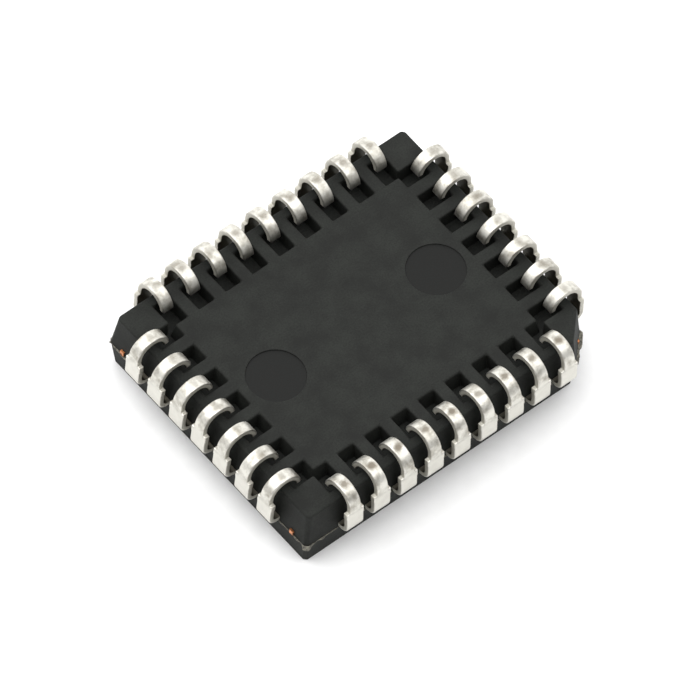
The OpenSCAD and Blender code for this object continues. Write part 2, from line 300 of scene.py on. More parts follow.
def column(lower, upper, i):
    """The quad between two outlines from point i to the next one."""
    return [lower + i, lower + i + 1, upper + i + 1, upper + i]


OUTER, RIM, TOP, FLOOR, FLAT = (RING * k for k in (2, 3, 4, 5, 6))
TIPS_LOW, TIPS_HIGH = 7 * RING, 7 * RING + 4
faces = strips(RING, 3)
plateau = []
for k in range(4):
    start, stop = (int(n) for n in SIDE_STARTS[k:k + 2])
    after = stop % RING
    low, high = TIPS_LOW + k, TIPS_HIGH + k
    first, last = start + CORNER_POINTS, stop - CORNER_POINTS - 1
    other = after + CORNER_POINTS
    middles = range(first + 2, last, 5)
    faces += [column(OUTER, RIM, i) for i in range(first, last)]
    faces += [column(FLAT, RIM, i) for m in middles for i in (m - 1, m)]
    plateau += range(TOP + first + 1, TOP + last - 1)
    inner = [i for m in middles for i in range(m - 2, m + 2) if i not in (first, last - 1)]
    faces += [column(FLOOR, TOP, i) for i in inner]
    faces += [[low, FLOOR + last, TOP + last, high], [FLOOR + other, low, high, TOP + other]]
    faces += [column(FLAT, FLOOR, m - 1) for m in middles[1:]]
    faces += [column(FLAT, FLOOR, m) for m in middles[:-1]]
    faces.append([FLOOR + last - 2, FLAT + last - 2, FLAT + last, low, FLAT + other,
                  FLAT + other + 2, FLOOR + other + 2, FLOOR + last - 1])
    faces.append([*range(OUTER + last, OUTER + stop), *range(OUTER + after, OUTER + other + 1),
                  RIM + other, high, RIM + last])
print("faces", len(faces), "plateau points", len(plateau))

# %% [markdown]
# The flat faces above and below are single polygons with round marks in them: two shallow
# discs where the ejector pins pushed on the board side, and a dimple beside the first lead
# on the marking face. A polygon can't have a hole, so each face is two halves that meet
# along the X axis and share each mark's rim between them. A mark is a small stack of rings:
# a rounded rim, a short wall and a rounded foot, with a disc for its floor.

# %% Round marks and the two flat faces
RIM_POINTS = 96
RIM_ROUND = 0.02
EJECTOR = {"radius": 1.135, "depth": 0.05, "places": (-3.80, 3.80)}
DIMPLE = {"radius": 0.50, "depth": 0.10, "places": (HALF["x"] - 1.45,)}
round_angle = np.radians(np.arange(0, 91, 22.5))


def pin_profile(radius, depth):
    """Radii and depths of an ejector mark: a quarter round at the rim and one at the foot."""
    out, down = 1 - np.sin(round_angle), 1 - np.cos(round_angle)
    radii = np.concatenate([radius + RIM_ROUND * out, radius - RIM_ROUND * out[::-1]])
    depths = np.concatenate([RIM_ROUND * down, depth - RIM_ROUND * down[::-1]])
    return radii, depths


def dimple_profile(radius, depth):
    """Radii and depths of a shallow bowl: the depth falls off with the radius squared."""
    share = np.linspace(1, 0.1, 9)
    return radius * share, depth * (1 - share ** 2)


def mark_rings(profile, mark, place, z, inward):
    """Rings of one mark, from its rim down: circles of the profile's radii about its place."""
    radii, depths = profile(mark["radius"], mark["depth"])
    turn = np.linspace(0, 2 * np.pi, RIM_POINTS, endpoint=False)
    x = place + radii[:, None] * np.cos(turn)
    y = radii[:, None] * np.sin(turn)
    return np.stack([x, y, z + inward * depths[:, None] + 0 * x], -1)


def flat_halves(ring, middle, other, rims):
    """The two polygons of a flat face: from the middle of the +X side round to the middle of
    the opposite one, and back along the X axis round the marks."""
    at, to = ring.index(middle), ring.index(other)
    back_half = ring[at:to + 1]
    front_half = ring[to:] + ring[:at + 1]
    half = RIM_POINTS // 2
    for rim, _ in sorted(rims, key=lambda pair: pair[1]):
        back_half += range(rim + half, rim - 1, -1)
    for rim, _ in sorted(rims, key=lambda pair: -pair[1]):
        front_half += [rim, *range(rim + RIM_POINTS - 1, rim + half - 1, -1)]
    return [back_half, front_half]


MIDDLE = CORNER_POINTS + 2 + 5 * (LEADS_ON["x"] // 2)
OTHER = int(SIDE_STARTS[2]) + MIDDLE
points = [np.vstack(levels), block_tips(POCKET_FLOOR), block_tips(BODY_THICK)]
total = sum(len(part) for part in points)
for mark, profile, z, inward, ring in ((EJECTOR, pin_profile, BODY_THICK, -1, plateau),
                                       (DIMPLE, dimple_profile, 0, 1, list(range(RING)))):
    rims = []
    for centre in mark["places"]:
        rings = mark_rings(profile, mark, centre, z, inward)
        faces += strips(RIM_POINTS, len(rings), total)
        rims.append((total, centre))
        total += rings.shape[0] * RIM_POINTS
        faces.append(list(range(total - RIM_POINTS, total)))
        points.append(rings.reshape(-1, 3))
    first = TOP if inward < 0 else 0
    faces += flat_halves(ring, first + MIDDLE, first + OTHER, rims)
print("points", total, "faces", len(faces))

# %% [markdown]
# A mesh goes into Blender as arrays of points and faces. Where a pocket is still closed some
# of its points lie on top of each other, so they are merged afterwards, and the faces without
# any area go with them. The surface is closed then, so Blender can turn every face outwards.

# %% From arrays to a piece
MERGE = 0.0005
FINE_MERGE = 0.0001
LEVEL_SLACK = 0.001


def make_piece(name, coordinates, polygons, material, stands_for=()):
    """A mesh object at the origin from points in millimetres, riding on the root body."""
    mesh = bpy.data.meshes.new(name)
    mesh.from_pydata((np.asarray(coordinates) * MM).tolist(), [], polygons)
    mesh.materials.append(material)
    piece = in_scene(name, mesh)
    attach(piece, "root")
    if stands_for:
        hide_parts(*stands_for)
    return piece


def close_up(piece, merge=FINE_MERGE):
    """Merges doubled points, drops faces with no area and turns the rest outwards."""
    work = bmesh.new()
    work.from_mesh(piece.data)
    bmesh.ops.remove_doubles(work, verts=work.verts, dist=merge * MM)
    bmesh.ops.dissolve_degenerate(work, edges=work.edges, dist=merge * MM)
    unused = [point for point in work.verts if not point.link_faces]
    bmesh.ops.delete(work, geom=unused, context="VERTS")
    bmesh.ops.recalc_face_normals(work, faces=work.faces)
    open_edges = sum(not edge.is_manifold for edge in work.edges)
    work.to_mesh(piece.data)
    work.free()
    print(piece.name, len(piece.data.polygons), "faces, open edges", open_edges)


def soften(piece, wide, narrow, height, floor, segments=3, limit=30):
    """Rounds every edge that is sharper than the limit, by a Bevel: wide from the given
    height up, narrow below it, and not at all where it lies on the pockets' floor."""
    work = bmesh.new()
    work.from_mesh(piece.data)
    share = work.edges.layers.float.new("bevel_weight_edge")
    sharp = [edge for edge in work.edges if edge.calc_face_angle(0) > math.radians(limit)]
    for edge in sharp:
        low, high = sorted(end.co.z / MM for end in edge.verts)
        edge[share] = 1.0 if low > height else narrow / wide
        if low > floor - LEVEL_SLACK and high < floor + LEVEL_SLACK:
            edge[share] = 0.0
    work.to_mesh(piece.data)
    work.free()
    bevel = piece.modifiers.new("soft_edges", "BEVEL")
    bevel.width = wide * MM
    bevel.segments = segments
    bevel.limit_method = "WEIGHT"
    bevel.use_clamp_overlap = True
    print(piece.name, "has", len(sharp), "sharp edges")


# %% [markdown]
# ## Moulded epoxy
#
# The resin is an epoxy filled with silica sand and blackened with soot. The mould cavity is
# spark-eroded, which gives the surface its dull, sandy skin: grains of a few hundredths of
# a millimetre that scatter the light. So the roughness is high, the colour has a weak
# mottle where the filler lies nearer to the surface, and a bump at grain size breaks up the
# reflection. The ejector pins are ground smooth, so the resin under them is a little darker
# and smoother.

# %% Material of the body
RESIN = linear("#191a18")
RESIN_LIGHT = linear("#232522")
RESIN_PIN = linear("#0e0f0d")
GRAIN_SIZE = 0.07
MOTTLE_SIZE = 0.9
RESIN_ROUGH = 0.7
PIN_ROUGH = 0.5
RESIN_IOR = 1.55
EDGE_WIDE = 0.07
EDGE_NARROW = 0.03


def epoxy_material():
    """Dull black moulding compound with a sandy skin and smoother pin marks."""
    material, tree, shader, where = new_material("moulded_epoxy_compound")
    grain = add(tree, "TexNoise", {"Vector": where, "Scale": per_metre(GRAIN_SIZE),
                                   "Detail": 3.0, "Roughness": 0.6}).outputs["Fac"]
    mottle = add(tree, "TexNoise", {"Vector": where, "Scale": per_metre(MOTTLE_SIZE),
                                    "Detail": 4.0, "Roughness": 0.55}).outputs["Fac"]
    blend = add(tree, "Math", {0: grain, 1: mottle}, operation="MULTIPLY").outputs[0]
    share = add(tree, "MapRange", {"Value": blend, "From Min": 0.16, "From Max": 0.36})
    skin = add(tree, "Mix", {FACTOR: share.outputs["Result"], FIRST: RESIN,
                             SECOND: RESIN_LIGHT}, data_type="RGBA").outputs[MIXED]
    parts = add(tree, "SeparateXYZ", {"Vector": where})
    folded = add(tree, "Math", {0: parts.outputs["X"]}, operation="ABSOLUTE").outputs[0]
    flat = add(tree, "CombineXYZ", {"X": folded, "Y": parts.outputs["Y"]}).outputs[0]
    away = add(tree, "VectorMath", {0: flat, 1: (EJECTOR["places"][1] * MM, 0, 0)},
               operation="DISTANCE").outputs["Value"]
    near = add(tree, "Math", {0: away, 1: EJECTOR["radius"] * MM}, operation="LESS_THAN")
    upper = add(tree, "Math", {0: parts.outputs["Z"], 1: PARTING * MM}, operation="GREATER_THAN")
    pin = add(tree, "Math", {0: near.outputs[0], 1: upper.outputs[0]},
              operation="MULTIPLY").outputs[0]
    skin = add(tree, "Mix", {FACTOR: pin, FIRST: skin, SECOND: RESIN_PIN},
               data_type="RGBA").outputs[MIXED]
    bump = add(tree, "Bump", {"Height": grain, "Strength": 0.35, "Distance": 0.02 * MM})
    finish = add(tree, "MapRange", {"Value": pin, "To Min": RESIN_ROUGH, "To Max": PIN_ROUGH})
    connect(tree, shader, {"Base Color": skin, "Normal": bump.outputs["Normal"],
                           "Roughness": finish.outputs["Result"], "IOR": RESIN_IOR,
                           "Specular IOR Level": 0.16})
    return material


epoxy = epoxy_material()
body = make_piece("body_moulding", np.vstack(points), faces, epoxy,
                  ["moulded_body"])
close_up(body, MERGE)
soften(body, EDGE_WIDE, EDGE_NARROW, PARTING, POCKET_FLOOR)

# %% [markdown]
# ## The J-leads
#
# A lead is a strip of copper alloy, 0.22 mm thick, stamped from one sheet with its
# neighbours, plated with matte tin and then bent up and over in a former. Stamping rounds
# the edges on one side, and bending keeps the thickness.
#
# So each lead is drawn flat first, as half of its outline: how wide it is at each place
# along the strip. Layers of that outline, drawn in a little near the two faces, give the
# rounded edges. Then every point is carried onto the bent line: straight out of the body,
# round the bend, up the leaning upright and over the hook.

# %% The line that a lead follows
STRIP_THICK = 0.22
BEND_IN = 0.21
BEND_OUT = BEND_IN + STRIP_THICK
HOOK_R = 0.76
LEAN = math.radians(3)
HOOK_END = math.radians(178)
BEND_Z = PARTING + BEND_OUT
HOOK_Z = SEAT_HEIGHT - HOOK_R
UPRIGHT_Z = BEND_Z + BEND_OUT * math.sin(LEAN)
HOOK_START_Z = HOOK_Z + HOOK_R * math.sin(LEAN)
UPRIGHT_LENGTH = (HOOK_START_Z - UPRIGHT_Z) / math.cos(LEAN)
BEND_LENGTH = BEND_OUT * (math.pi / 2 + LEAN)
HOOK_LENGTH = HOOK_R * (HOOK_END - LEAN)


def strip_line(s):
    """Outer face of a strip at distance s from the start of its bend, in from the outermost
    face and up, with the angle of its outward direction: an arm for s below zero, then two
    arcs with a straight run between them."""
    s = np.asarray(s, float)
    bend = np.clip(s, 0, BEND_LENGTH) / BEND_OUT
    hook = np.clip(s - BEND_LENGTH - UPRIGHT_LENGTH, 0, None) / HOOK_R
    angle = -math.pi / 2 + bend + hook
    run = np.clip(s - BEND_LENGTH, 0, UPRIGHT_LENGTH)
    u = -BEND_OUT + np.minimum(s, 0) + BEND_OUT * np.sin(bend) - run * math.sin(LEAN)
    z = PARTING + BEND_OUT * (1 - np.cos(bend)) + run * math.cos(LEAN)
    u += HOOK_R * (np.cos(LEAN + hook) - math.cos(LEAN))
    z += HOOK_R * (np.sin(LEAN + hook) - math.sin(LEAN))
    return u, z, angle


top = strip_line(BEND_LENGTH + UPRIGHT_LENGTH + HOOK_R * (math.pi / 2 - LEAN))
print("foot of a lead at", round(float(top[1]), 3), "mm, in from the outside", -float(top[0]))

# %% [markdown]
# The widths come from the blank: the full shoulder, the stub of the bar that held the leads
# together while the resin flowed, a step down to the foot, and a square-cut tip. Distances
# are along the strip, so the height of the step turns into a length by way of the lean. A
# small corner is rounded by three points: its two ends, and one near the middle of the
# quarter round, 0.3 of the radius from either side.

# %% Half the outline of the flat blank
SHOULDER = 0.75 / 2
STUB = SHOULDER + 0.02
STUB_HEIGHT = 0.28
FOOT = 0.49 / 2
FINGER = 0.34 / 2
FINGER_TIP = {"x": 3.70, "y": 3.00}
STEP_Z = PARTING + 1.23
ROOT_LENGTH = 0.45
NICK = 0.03
CORNER_ROUND = 0.045
TOOTH_ROUND = 0.02
ARC_MIDDLE = 0.3
NECK_LENGTH = 1.4 * NICK
NECK_MIDDLE = 0.4 * NICK
STRAIGHT_GAP = 0.8
BENT_GAP = 0.055
LENGTH = BEND_LENGTH + UPRIGHT_LENGTH + HOOK_LENGTH


def along_upright(z):
    """Distance along the strip of a height on the upright."""
    return BEND_LENGTH + (z - UPRIGHT_Z) / math.cos(LEAN)


STEP_AT = along_upright(STEP_Z)


def dense(corners, gap):
    """Points along a polyline no further apart than the gap, its corners kept."""
    corners = np.asarray(corners, float)
    counts = np.ceil(np.linalg.norm(np.diff(corners, axis=0), axis=1) / gap).astype(int)
    runs = [np.linspace(a, b, max(n, 1), endpoint=False)
            for a, b, n in zip(corners[:-1], corners[1:], counts)]
    return np.vstack([*runs, corners[-1:]])


def half_blank(axis, finger_tip):
    """Distance along the strip and half width, from the finger's tip to the lead's tip."""
    root = HALF[axis] - ROOT_LENGTH - (SPAN[axis] - BEND_OUT)
    narrow = root - (SHOULDER - FINGER)
    tip = finger_tip - (SPAN[axis] - BEND_OUT)
    low = along_upright(STEP_Z - STUB_HEIGHT)
    tooth, corner = ARC_MIDDLE * TOOTH_ROUND, ARC_MIDDLE * CORNER_ROUND
    straight = [[tip, FINGER], [narrow, FINGER], [root, SHOULDER], [0, SHOULDER]]
    bent = [[0, SHOULDER], [low - NICK, SHOULDER], [low, STUB], [STEP_AT - TOOTH_ROUND, STUB],
            [STEP_AT - tooth, STUB - tooth], [STEP_AT, STUB - TOOTH_ROUND],
            [STEP_AT, FOOT + NECK_LENGTH], [STEP_AT + NECK_MIDDLE, FOOT + NECK_MIDDLE],
            [STEP_AT + NECK_LENGTH, FOOT], [LENGTH - CORNER_ROUND, FOOT],
            [LENGTH - corner, FOOT - corner], [LENGTH, FOOT - CORNER_ROUND]]
    return np.vstack([dense(straight, STRAIGHT_GAP)[:-1], dense(bent, BENT_GAP)])


def drawn_in(half, inset):
    """The outline moved in by inset along its normals; both ends move in along the strip."""
    forward = half[1:] - half[:-1]
    forward /= np.linalg.norm(forward, axis=1)[:, None]
    before = np.vstack([[[0, 1]], forward])
    after = np.vstack([forward, [[0, -1]]])
    bisector = before + after
    bisector /= np.linalg.norm(bisector, axis=1)[:, None]
    normal = np.column_stack([bisector[:, 1], -bisector[:, 0]])
    stretch = 1 / np.clip((bisector * after).sum(1), 0.5, 1)
    return half + normal * (inset * stretch)[:, None]


print("points along a lead:", len(half_blank("x", FINGER_TIP["x"])))

# %% [markdown]
# The layers are the ones a rounded edge needs: from the outer face round to the side wall,
# and from there round to the inner face. The stamping die rolls the outer edges over, so
# they are rounder than the inner ones.
#
# A test socket has wiped across each foot, just outside its highest line, and left a flat
# less than a hundredth of a millimetre deep. The outer face has extra points for it.

# %% Layers of a lead and the wiped flat
OUTER_ROUND = 0.040
INNER_ROUND = 0.020
FACE_SHARES = np.linspace(-1, 1, 9)[1:-1]
INNER_SHARES = np.zeros(1)
WIPE_ANGLE = math.radians(3)
WIPE_DEPTH = 0.008
WIPE_LONG = 0.17
WIPE_WIDE = 0.19
turn_steps = np.radians([0, 30, 60, 90])
layer_inset = np.concatenate([OUTER_ROUND * (1 - np.sin(turn_steps)),
                              INNER_ROUND * (1 - np.cos(turn_steps))])
layer_depth = np.concatenate([OUTER_ROUND * (1 - np.cos(turn_steps)),
                              STRIP_THICK - INNER_ROUND * (1 - np.sin(turn_steps))])
WIPE_AT = BEND_LENGTH + UPRIGHT_LENGTH + HOOK_R * (math.pi / 2 - LEAN - WIPE_ANGLE)


def across(edge, shares):
    """Points between the two edges of a face, at shares of the half width."""
    return edge * np.stack([np.ones_like(shares), shares, np.ones_like(shares)], -1)


def lead_grid(axis, finger_tip):
    """Points of a flat lead: along the strip, across it and below its outer face. Each row is
    one closed loop: the right edge's layers, the inner face, the left edge's layers back up,
    and the outer face."""
    half = half_blank(axis, finger_tip)
    edge = np.stack([drawn_in(half, inset) for inset in layer_inset], 1)
    depth = np.broadcast_to(layer_depth, edge.shape[:2])
    right = np.stack([edge[..., 0], edge[..., 1], depth], -1)
    left = right[:, ::-1] * [1, -1, 1]
    return np.concatenate([right, across(right[:, -1:], INNER_SHARES), left,
                           across(right[:, :1], FACE_SHARES)], 1)


def wiped(grid, deep):
    """Sinks the outer face by a bell with a flat top over the wiped place: the depth times e
    to the minus fourth powers of the distances, in units of the wiped length and width."""
    s, q, d = np.moveaxis(grid, -1, 0)
    bell = np.exp(-((s - WIPE_AT) / WIPE_LONG) ** 4 - (q / WIPE_WIDE) ** 4)
    near_face = np.clip(1 - d / OUTER_ROUND, 0, 1)
    return np.stack([s, q, d + deep * bell * near_face], -1)


print("points around a lead:", lead_grid("x", FINGER_TIP["x"]).shape)

# %% [markdown]
# Now the flat lead is bent. Every point goes to the outer face's line at its distance along
# the strip, and then inwards by its depth, square to the line. Inside the body the strip
# turns aside to reach its place beside the die, so there the middle of the strip slides
# from the outer pitch to the finer inner one.

# %% Bend a lead into place
FINGER_PITCH = {"x": 0.64, "y": 0.70}
rng = np.random.default_rng(32)


def bent_lead(axis, degrees, along, inner_along, sway, pinch, deep):
    """A lead's points in the row frame. Sway leans its foot sideways and pinch draws its hook
    in, both growing with the square of the height over the bend."""
    grid = wiped(lead_grid(axis, FINGER_TIP[axis]), deep)
    s, q, d = np.moveaxis(grid, -1, 0)
    u, z, angle = strip_line(s)
    u = u - d * np.cos(angle)
    z = z - d * np.sin(angle)
    height = np.clip((z - BEND_Z) / (SEAT_HEIGHT - BEND_Z), 0, None) ** 2
    bend_start = SPAN[axis] - BEND_OUT
    root = HALF[axis] - ROOT_LENGTH - (SHOULDER - FINGER)
    aside = np.clip((root - bend_start - s) / (root - FINGER_TIP[axis]), 0, 1)
    middle = along + (inner_along - along) * aside + sway * height
    place = np.stack([SPAN[axis] + u - pinch * height, middle + q, z], -1)
    return turned(place, degrees), grid


def loop_faces(rows, around):
    """Quads of a tube of closed loops, and the end polygons that close it."""
    tube = strips(around, rows)
    layers = len(layer_inset)
    inner = len(INNER_SHARES)
    for start in (0, (rows - 1) * around):
        loop = list(range(start, start + around))
        right, middle = loop[:layers], loop[layers:layers + inner]
        left, face = loop[layers + inner:2 * layers + inner][::-1], loop[2 * layers + inner:]
        tube += [[right[j], right[j + 1], left[j + 1], left[j]] for j in range(1, layers - 2)]
        tube.append([right[0], right[1], left[1], left[0], *face])
        tube.append([right[-2], right[-1], *middle, left[-1], left[-2]])
    return tube


# %% [markdown]
# ## Matte tin
#
# The plating is matte tin, ten micrometres of soft grey-white metal with grains that are too
# fine to see one by one. It scatters a reflection widely, so a lead shows soft gradients and
# never a sharp picture of the room. Rolling lines of the strip run along it. Cloudy grey
# bands dull the tin, faint below the step and full above it, and the wiped flat is burnished
# and darker. The test socket pressed harder on one side than on the others, so each lead
# carries its own wear.
# The inner face is painted darker, as painted shade: it faces the dark body, mirrors it and
# lies in its shade. The stamped sides are torn metal, whose crumbs scatter light nearly as a
# powder does.
#
# Each lead carries the flat strip's own coordinates with it: X along the strip, Y across it
# and Z the depth below its outer face, so that a finish can follow the bent metal. Each
# range of depths below is a soft border between two finishes.

# %% Material of the leads
TIN = linear("#d6d4cc")
TIN_DULL = linear("#9f9b91")
TIN_WORN = linear("#80796d")
# The inner face's colour is painted shade: that face looks at the dark body and lies in its shade.
TIN_INNER_SHADE = linear("#7b776b")
TIN_EDGE = linear("#b4b1a6")
CLOUD_SIZE = 0.35
TIN_GRAIN = 0.03
ROLL_LINE = 0.02
ROLL_STRETCH = (0.06, 1.0, 1.0)
SMEAR_SIZE = 0.12
SMEAR_REACH = 0.9
TIN_ROUGH = 0.43
WIPED_ROUGH = 0.37
CUT_METALLIC = 0.35
FACE_DEPTHS = (0.02, 0.05)
CUT_DEPTHS = (OUTER_ROUND, OUTER_ROUND + 0.03)
SHADED_INNER_DEPTHS = (STRIP_THICK - 0.03, STRIP_THICK - 0.005)


def tin_material():
    """Matte tin plating: metal with cloudy tarnish, rolling lines and a burnished flat."""
    material, tree, shader, where = new_material("matte_tin_plating")
    strip = add(tree, "Attribute", attribute_name="strip").outputs["Vector"]
    s, _, depth = add(tree, "SeparateXYZ", {"Vector": strip}).outputs
    face, cut_in, shaded_inner_face = (
        add(tree, "MapRange", {"Value": depth, "From Min": low, "From Max": high}).outputs[0]
        for low, high in (FACE_DEPTHS, CUT_DEPTHS, SHADED_INNER_DEPTHS))
    cut = add(tree, "Math", {0: cut_in, 1: shaded_inner_face}, operation="SUBTRACT").outputs[0]

    cloud = add(tree, "TexNoise", {"Vector": where, "Scale": per_metre(CLOUD_SIZE),
                                   "Detail": 3.0, "Roughness": 0.6}).outputs["Fac"]
    cloudy = add(tree, "MapRange", {"Value": cloud, "From Min": 0.40, "From Max": 0.68})
    # The cloudy bands are faint below the step and full above it.
    dull_above_step = add(tree, "MapRange", {"Value": s, "From Min": STEP_AT - 0.15,
                                     "From Max": STEP_AT + 0.30, "To Min": 0.15})
    dull = add(tree, "Math", {0: cloudy.outputs["Result"], 1: dull_above_step.outputs["Result"]},
               operation="MULTIPLY").outputs[0]

    away = add(tree, "VectorMath", {0: strip, 1: (WIPE_AT, 0, 0)}, operation="SUBTRACT")
    flat = add(tree, "VectorMath", {0: away.outputs[0], 1: (1 / WIPE_LONG, 1 / WIPE_WIDE, 0)},
               operation="MULTIPLY")
    spread = add(tree, "VectorMath", {0: flat.outputs[0]}, operation="LENGTH").outputs["Value"]
    smear = add(tree, "TexNoise", {"Vector": where, "Scale": per_metre(SMEAR_SIZE),
                                   "Detail": 2.0}).outputs["Fac"]
    edge = add(tree, "Math", {0: smear, 1: SMEAR_REACH, 2: spread},
               operation="MULTIPLY_ADD").outputs[0]
    near = add(tree, "MapRange", {"Value": edge, "From Min": 0.9, "From Max": 1.7,
                                  "To Min": 1.0, "To Max": 0.0}).outputs["Result"]
    on_face = add(tree, "Math", {0: 1.0, 1: face}, operation="SUBTRACT").outputs[0]
    here = add(tree, "Math", {0: near, 1: on_face}, operation="MULTIPLY").outputs[0]
    wear = add(tree, "Attribute", attribute_name="wear").outputs["Fac"]
    worn = add(tree, "Math", {0: here, 1: wear}, operation="MULTIPLY").outputs[0]

    colour = TIN
    # The inner face's darker colour is painted shade, not a finish of the tin.
    for share, finish in ((dull, TIN_DULL), (shaded_inner_face, TIN_INNER_SHADE), (cut, TIN_EDGE),
                          (worn, TIN_WORN)):
        colour = add(tree, "Mix", {FACTOR: share, FIRST: colour, SECOND: finish},
                     data_type="RGBA").outputs[MIXED]
    shine = add(tree, "MapRange", {"Value": worn, "To Min": TIN_ROUGH, "To Max": WIPED_ROUGH})
    metal = add(tree, "MapRange", {"Value": cut, "To Min": 1.0, "To Max": CUT_METALLIC})
    rolled = add(tree, "VectorMath", {0: strip, 1: ROLL_STRETCH}, operation="MULTIPLY")
    lines = add(tree, "TexNoise", {"Vector": rolled.outputs["Vector"], "Scale": 1 / ROLL_LINE,
                                   "Detail": 2.0})
    grain = add(tree, "TexNoise", {"Vector": where, "Scale": per_metre(TIN_GRAIN)})
    relief = add(tree, "Math", {0: lines.outputs["Fac"], 1: grain.outputs["Fac"]}, operation="ADD")
    bump = add(tree, "Bump", {"Height": relief.outputs[0], "Strength": 0.25,
                              "Distance": 0.004 * MM})
    connect(tree, shader, {"Base Color": colour, "Roughness": shine.outputs["Result"],
                           "Metallic": metal.outputs["Result"],
                           "Normal": bump.outputs["Normal"]})
    return material


tin = tin_material()

# %% [markdown]
# The leads are numbered round the chip as the standard does, from the middle of the +X side.
# Each side has its turn about Z and its share of wear. No two leads are bent quite alike,
# so each one sways and is pinched by up to two hundredths of a millimetre.

# %% Make the 32 leads
LEAD_COUNT = 32
SIDES = [("x", 0, 0.58), ("y", -90, 1.25), ("x", 180, 0.56), ("y", 90, 0.72)]
FIRST_PLACE = (LEADS_ON["x"] - 1) // 2
MOST_SWAY = 0.012
MOST_PINCH = 0.018
LEAST_DEEP = 0.6


def give_points(piece, name, kind, field, values):
    """Adds an attribute with a value for each point of a piece."""
    attribute = piece.data.attributes.new(name, kind, "POINT")
    attribute.data.foreach_set(field, values.reshape(-1).astype(np.float32))


def make_lead(order, axis, degrees, place, wear):
    """One lead, by its order from the top of the +X side and its place along its own side,
    with the wear of its wiped flat."""
    number = (order - FIRST_PLACE) % LEAD_COUNT + 1
    offset = (LEADS_ON[axis] - 1) / 2 - place
    sway, pinch, deep = rng.uniform((-MOST_SWAY, 0, LEAST_DEEP), (MOST_SWAY, MOST_PINCH, 1.0))
    placed, grid = bent_lead(axis, degrees, offset * PITCH, offset * FINGER_PITCH[axis], sway,
                             pinch, WIPE_DEPTH * deep)
    name = f"lead_{number:02d}"
    piece = make_piece("tinned_" + name, placed.reshape(-1, 3), loop_faces(*placed.shape[:2]),
                       tin, [name])
    give_points(piece, "strip", "FLOAT_VECTOR", "vector", grid)
    give_points(piece, "wear", "FLOAT", "value", np.full(grid.shape[:2], wear * deep))
    close_up(piece)
    piece.data.shade_smooth()
    return piece


turns = [(axis, degrees, place, wear) for axis, degrees, wear in SIDES
         for place in range(LEADS_ON[axis])]
leads = [make_lead(order, *turn) for order, turn in enumerate(turns)]
print("leads", len(leads), "faces each", len(leads[0].data.polygons))

# %% [markdown]
# ## Flash and the broken gate
#
# Where the two halves of the mould meet, a film of resin creeps out and is left as a thin,
# ragged fin. Resin comes in through a gate at the large chamfer. When the gate is broken
# off, a step with a torn face stays behind. Broken resin shows its sand, and its colour is
# painted paler than the moulded skin: part of that paleness is painted highlight, for the
# light that the fin's top catches along the parting line.
#
# Both are tubes: a small closed section is carried along the wall, and its reach is a
# random curve, smoothed so that it is ragged at the size of the real tears. At the corner
# between the two sides that face us a lump of torn resin hangs down from the fin: a bell
# curve about the corner deepens the section there. A section has four points: inside the
# wall above, at the fin's edge above and below, and inside the wall below.

# %% Ragged curves and tubes
def ragged_curve(count, smooth, closed):
    """Seeded random values from 0 to 1, each the mean of its neighbours over smooth points."""
    values = rng.uniform(0, 1, count)
    pad = np.pad(values, smooth, mode="wrap" if closed else "reflect")
    kernel = np.hanning(2 * smooth + 1)
    flat = np.convolve(pad, kernel / kernel.sum(), "valid")
    return (flat - flat.min()) / (flat.max() - flat.min())


def wall_path(gap):
    """Points round the parting line no further apart than the gap, with outward directions."""
    ring = outline(PARTING, "wall")[:, :2]
    step = np.arange(CORNER_POINTS)
    corners = np.concatenate([[start + step, stop - 1 - step[::-1]]
                              for start, stop in zip(SIDE_STARTS[:-1], SIDE_STARTS[1:])])
    corners = ring[corners.reshape(-1)]
    path = dense(np.vstack([corners, corners[:1]]), gap)[:-1]
    tangent = np.roll(path, -1, axis=0) - np.roll(path, 1, axis=0)
    tangent /= np.linalg.norm(tangent, axis=1)[:, None]
    return path, np.column_stack([tangent[:, 1], -tangent[:, 0]])


def swept(path, outward, reach, heights):
    """Loops of points: each section's reaches and heights, set out from the path's points."""
    flat = path[:, None] + outward[:, None] * reach[..., None]
    return np.concatenate([flat, heights[..., None]], -1)


PATH_GAP = 0.06
FLASH_REACH = 0.08
FLASH_THICK = 0.04
FLASH_LIP = 0.6 * FLASH_THICK
EDGE_BACK = 0.006
TOP_GAP = 0.003
INSIDE = -0.06
COARSE, MEDIUM, FINE = 9, 4, 2
COARSE_SHARE = 0.6
TEAR_GAIN = 2.4
TEAR_BARE = 0.65
LEAST_FIN = 0.06
WAVE_HEIGHT = 0.004
LUMP_AT = np.array([-HALF["x"], -HALF["y"]])
LUMP_SIZE = 0.20
LUMP_DEEP = 0.30
LUMP_ROUGH = 0.3
path, outward = wall_path(PATH_GAP)
count = len(path)
tear = COARSE_SHARE * ragged_curve(count, COARSE, True)
tear += (1 - COARSE_SHARE) * ragged_curve(count, FINE, True)
lump = np.exp(-((path - LUMP_AT) ** 2).sum(1) / LUMP_SIZE ** 2)
fin = FLASH_REACH * np.clip(TEAR_GAIN * tear - TEAR_BARE + lump, LEAST_FIN, 1)
wave = WAVE_HEIGHT * ragged_curve(count, MEDIUM, True)
droop = LUMP_DEEP * lump * (1 - LUMP_ROUGH + LUMP_ROUGH * tear)
inside_wall = np.full(count, INSIDE)
fin_top = PARTING - TOP_GAP
fin_reach = np.stack([inside_wall, fin, fin - EDGE_BACK, inside_wall], 1)
fin_height = np.stack([np.full(count, fin_top), fin_top - wave,
                       PARTING - FLASH_LIP - wave - droop,
                       PARTING - FLASH_THICK - 1.2 * droop], 1)
fin_loops = swept(path, outward, fin_reach, fin_height)
print("fin reaches", fin.min().round(3), "to", fin.max().round(3), "mm")

